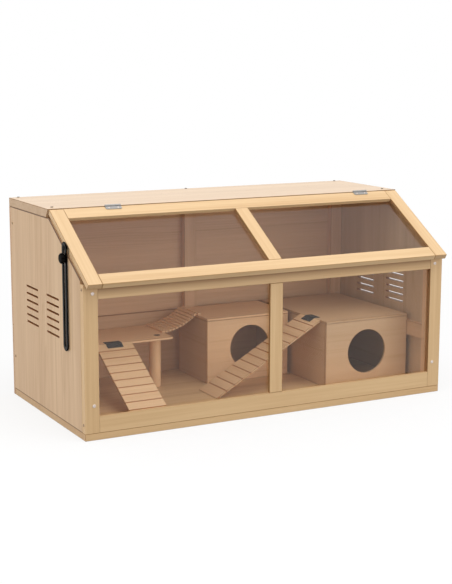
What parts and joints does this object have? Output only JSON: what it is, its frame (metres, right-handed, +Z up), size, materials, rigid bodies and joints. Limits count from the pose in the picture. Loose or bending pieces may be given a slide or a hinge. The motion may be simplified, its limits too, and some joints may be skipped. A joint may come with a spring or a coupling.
{
  "type": "wooden hamster cage",
  "caption": "Wooden small-pet cage: boarded case, clear front panes, sloping glazed lid on butt hinges with a slotted stay, and inside a platform, ramps, slat bridge and hideouts.",
  "frame": {"origin": "centre of the base board's underside", "axes": "+X to the right along the front, +Y to the back, +Z up; the front frame faces -Y"},
  "size_m": [1.0167, 0.518, 0.5181],
  "materials": {
    "side_wood": "planed softwood, vertical grain, satin",
    "board_wood": "planed softwood, satin",
    "top_wood": "planed softwood, satin",
    "frame_wood": "planed softwood, satin",
    "lid_wood": "planed softwood, satin",
    "batten_wood": "sawn softwood, matte",
    "furniture_wood": "sanded softwood, matte",
    "clear_pane": "clear, smooth",
    "hinge_steel": "zinc plated, satin",
    "screw_steel": "zinc plated, satin",
    "steel": "satin",
    "black_metal": "black, satin",
    "dark_strap": "dark grey, matte",
    "black_plastic": "black, satin"
  },
  "bodies": {
    "cage": {"base_board": "board_wood", "back_plank_lower": "board_wood", "back_plank_upper": "board_wood", "side_panel_left": "side_wood", "side_panel_right": "side_wood", "front_post_left": "frame_wood", "front_post_right": "frame_wood", "front_upper_rail": "frame_wood", "front_lower_rail": "frame_wood", "front_mullion": "frame_wood", "front_pane_left": "clear_pane", "front_pane_right": "clear_pane", "front_cleat_left": "batten_wood", "front_cleat_right": "batten_wood", "back_post_left": "batten_wood", "back_post_right": "batten_wood", "back_middle_batten": "batten_wood", "side_batten_left": "batten_wood", "side_batten_right": "batten_wood", "top_cleats": "batten_wood", "top_board": "top_wood", "hinge_left_board_leaf": "hinge_steel", "hinge_left_pin": "hinge_steel", "hinge_right_board_leaf": "hinge_steel", "hinge_right_pin": "hinge_steel", "platform_board": "furniture_wood", "platform_post": "furniture_wood", "platform_ramp": "furniture_wood", "hideout_ramp": "furniture_wood", "ramp_straps": "dark_strap", "bridge_slats": "furniture_wood", "bridge_wires": "steel", "hideout_left_front": "furniture_wood", "hideout_left_back": "furniture_wood", "hideout_left_outer_wall": "furniture_wood", "hideout_left_inner_wall": "furniture_wood", "hideout_left_roof": "furniture_wood", "hideout_right_front": "furniture_wood", "hideout_right_back": "furniture_wood", "hideout_right_outer_wall": "furniture_wood", "hideout_right_inner_wall": "furniture_wood", "hideout_right_roof": "furniture_wood", "post_screws": "screw_steel", "side_screws": "screw_steel", "top_screws": "screw_steel", "hinge_board_screws": "screw_steel"},
    "lid": {"lid_stile_left": "lid_wood", "lid_stile_right": "lid_wood", "lid_top_rail": "lid_wood", "lid_bottom_rail": "lid_wood", "lid_mullion": "lid_wood", "lid_pane_left": "clear_pane", "lid_pane_right": "clear_pane", "hinge_left_lid_leaf": "hinge_steel", "hinge_right_lid_leaf": "hinge_steel", "hinge_lid_screws": "screw_steel"},
    "stay_guide": {"stay_washer": "steel"},
    "stay": {"stay_bar": "black_metal", "stay_pin": "black_metal"},
    "knob": {"stay_knob": "black_plastic"}
  },
  "joints": [
    {"name": "lid_open", "type": "hinge", "parent": "cage", "child": "lid", "pos_m": [0, -0.03458, 0.51585], "axis": [-1, 0, 0], "range_deg": [0, 95]},
    {"name": "stay_swing", "type": "hinge", "parent": "cage", "child": "stay_guide", "pos_m": [-0.504, -0.14486, 0.41291], "axis": [-1, 0, 0], "range_deg": [0, 10]},
    {"name": "stay_slide", "type": "slide", "parent": "stay_guide", "child": "stay", "axis": [0, 0, 1], "range_m": [0, 0.2]},
    {"name": "knob_turn", "type": "hinge", "parent": "cage", "child": "knob", "pos_m": [-0.504, -0.14486, 0.41291], "axis": [1, 0, 0], "continuous": true}
  ],
  "couplings": [
    {"joint": "stay_swing", "follows": "lid_open", "ratio": 0.0975},
    {"joint": "stay_slide", "follows": "lid_open", "m_per_rad": 0.1195}
  ]
}
